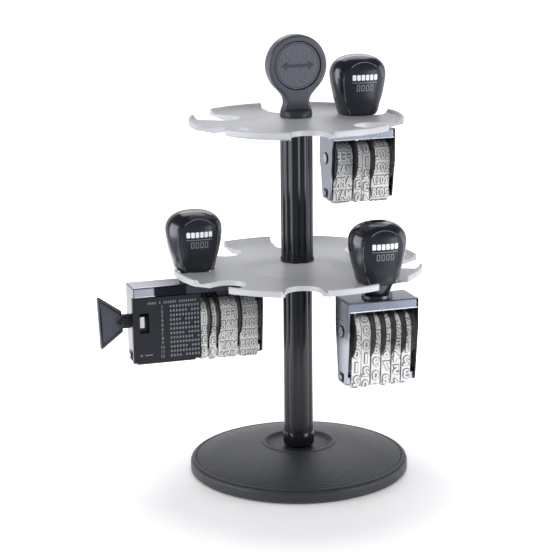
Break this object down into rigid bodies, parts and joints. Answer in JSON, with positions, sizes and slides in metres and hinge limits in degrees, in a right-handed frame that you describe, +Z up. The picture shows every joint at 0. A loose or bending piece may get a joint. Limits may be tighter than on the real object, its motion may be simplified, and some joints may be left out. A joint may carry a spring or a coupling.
{
  "type": "stamp carousel",
  "caption": "Turning desk stand with two slotted trays on a fluted pole; date, phrase and numbering band stamps hang in the slots by their handles.",
  "frame": {"origin": "pole axis at the desk surface, centre of the resting face", "axes": "+Z up along the pole; the stamps face -Y and their wheel axles lie along X"},
  "size_m": [0.1666, 0.129, 0.2286],
  "materials": {
    "foot": "fine grain",
    "weight": "plain",
    "pad": "matte",
    "steel": "plain",
    "washer": "slippery",
    "pole": "gloss",
    "tray": "frosted, slightly see-through",
    "finial": "satin",
    "handle": "gloss",
    "inlay": "satin",
    "frame": "polished",
    "wheel": "gloss",
    "band": "matte ivory",
    "cover": "satin"
  },
  "bodies": {
    "base": {"base_shell": "foot", "base_weight": "weight", "base_pad": "pad", "spindle_rod": "steel", "spindle_nut": "steel", "thrust_washer": "washer"},
    "carousel": {"lower_pole": "pole", "lower_tray": "tray", "upper_pole": "pole", "upper_tray": "tray", "finial": "finial", "finial_medallion": "finial"},
    "number_stamp": {"number_axle": "steel", "number_band_1": "band", "number_band_2": "band", "number_band_3": "band", "number_band_4": "band", "number_band_5": "band", "number_band_6": "band", "number_bridge": "wheel", "number_frame": "frame", "number_handle": "handle", "number_inlays": "inlay"},
    "date_stamp": {"date_axle": "steel", "date_band_month": "band", "date_band_tens": "band", "date_band_units": "band", "date_band_year": "band", "date_bridge": "wheel", "date_frame": "frame", "date_handle": "handle", "date_inlays": "inlay"},
    "phrase_stamp": {"phrase_axle": "steel", "phrase_band_month": "band", "phrase_band_tens": "band", "phrase_band_text": "band", "phrase_band_units": "band", "phrase_band_year": "band", "phrase_bridge": "wheel", "phrase_cover": "cover", "phrase_frame": "frame", "phrase_handle": "handle", "phrase_inlays": "inlay"},
    "phrase_dial": {"phrase_knob": "wheel", "phrase_drum": "wheel"},
    "number_wheel_1": {"number_wheel_1": "wheel"},
    "number_wheel_2": {"number_wheel_2": "wheel"},
    "number_wheel_3": {"number_wheel_3": "wheel"},
    "number_wheel_4": {"number_wheel_4": "wheel"},
    "number_wheel_5": {"number_wheel_5": "wheel"},
    "number_wheel_6": {"number_wheel_6": "wheel"},
    "date_wheel_month": {"date_wheel_month": "wheel"},
    "date_wheel_tens": {"date_wheel_tens": "wheel"},
    "date_wheel_units": {"date_wheel_units": "wheel"},
    "date_wheel_year": {"date_wheel_year": "wheel"},
    "phrase_wheel_month": {"phrase_wheel_month": "wheel"},
    "phrase_wheel_tens": {"phrase_wheel_tens": "wheel"},
    "phrase_wheel_units": {"phrase_wheel_units": "wheel"},
    "phrase_wheel_year": {"phrase_wheel_year": "wheel"}
  },
  "joints": [
    {"name": "carousel_spin", "type": "hinge", "parent": "base", "child": "carousel", "pos_m": [0, 0, 0.1], "axis": [0, 0, 1], "continuous": true},
    {"name": "number_stamp_pull", "type": "slide", "parent": "carousel", "child": "number_stamp", "axis": [0.5015, -0.8652, 0], "range_m": [0, 0.024]},
    {"name": "phrase_stamp_pull", "type": "slide", "parent": "carousel", "child": "phrase_stamp", "axis": [-0.9664, 0.2571, 0], "range_m": [0, 0.024]},
    {"name": "date_stamp_pull", "type": "slide", "parent": "carousel", "child": "date_stamp", "axis": [0.9379, 0.3469, 0], "range_m": [0, 0.028]},
    {"name": "number_wheel_1_turn", "type": "hinge", "parent": "number_stamp", "child": "number_wheel_1", "pos_m": [0.02638, -0.04551, 0.0857], "axis": [1, 0, 0], "continuous": true},
    {"name": "number_wheel_2_turn", "type": "hinge", "parent": "number_stamp", "child": "number_wheel_2", "pos_m": [0.02638, -0.04551, 0.0857], "axis": [1, 0, 0], "continuous": true},
    {"name": "number_wheel_3_turn", "type": "hinge", "parent": "number_stamp", "child": "number_wheel_3", "pos_m": [0.02638, -0.04551, 0.0857], "axis": [1, 0, 0], "continuous": true},
    {"name": "number_wheel_4_turn", "type": "hinge", "parent": "number_stamp", "child": "number_wheel_4", "pos_m": [0.02638, -0.04551, 0.0857], "axis": [1, 0, 0], "continuous": true},
    {"name": "number_wheel_5_turn", "type": "hinge", "parent": "number_stamp", "child": "number_wheel_5", "pos_m": [0.02638, -0.04551, 0.0857], "axis": [1, 0, 0], "continuous": true},
    {"name": "number_wheel_6_turn", "type": "hinge", "parent": "number_stamp", "child": "number_wheel_6", "pos_m": [0.02638, -0.04551, 0.0857], "axis": [1, 0, 0], "continuous": true},
    {"name": "date_wheel_month_turn", "type": "hinge", "parent": "date_stamp", "child": "date_wheel_month", "pos_m": [0.03817, 0.01412, 0.1624], "axis": [1, 0, 0], "continuous": true},
    {"name": "date_wheel_tens_turn", "type": "hinge", "parent": "date_stamp", "child": "date_wheel_tens", "pos_m": [0.03817, 0.01412, 0.1624], "axis": [1, 0, 0], "continuous": true},
    {"name": "date_wheel_units_turn", "type": "hinge", "parent": "date_stamp", "child": "date_wheel_units", "pos_m": [0.03817, 0.01412, 0.1624], "axis": [1, 0, 0], "continuous": true},
    {"name": "date_wheel_year_turn", "type": "hinge", "parent": "date_stamp", "child": "date_wheel_year", "pos_m": [0.03817, 0.01412, 0.1624], "axis": [1, 0, 0], "continuous": true},
    {"name": "phrase_wheel_month_turn", "type": "hinge", "parent": "phrase_stamp", "child": "phrase_wheel_month", "pos_m": [-0.05122, 0.01363, 0.085], "axis": [1, 0, 0], "continuous": true},
    {"name": "phrase_wheel_tens_turn", "type": "hinge", "parent": "phrase_stamp", "child": "phrase_wheel_tens", "pos_m": [-0.05122, 0.01363, 0.085], "axis": [1, 0, 0], "continuous": true},
    {"name": "phrase_wheel_units_turn", "type": "hinge", "parent": "phrase_stamp", "child": "phrase_wheel_units", "pos_m": [-0.05122, 0.01363, 0.085], "axis": [1, 0, 0], "continuous": true},
    {"name": "phrase_wheel_year_turn", "type": "hinge", "parent": "phrase_stamp", "child": "phrase_wheel_year", "pos_m": [-0.05122, 0.01363, 0.085], "axis": [1, 0, 0], "continuous": true},
    {"name": "phrase_dial_turn", "type": "hinge", "parent": "phrase_stamp", "child": "phrase_dial", "pos_m": [-0.09122, 0.01363, 0.085], "axis": [1, 0, 0], "continuous": true}
  ]
}
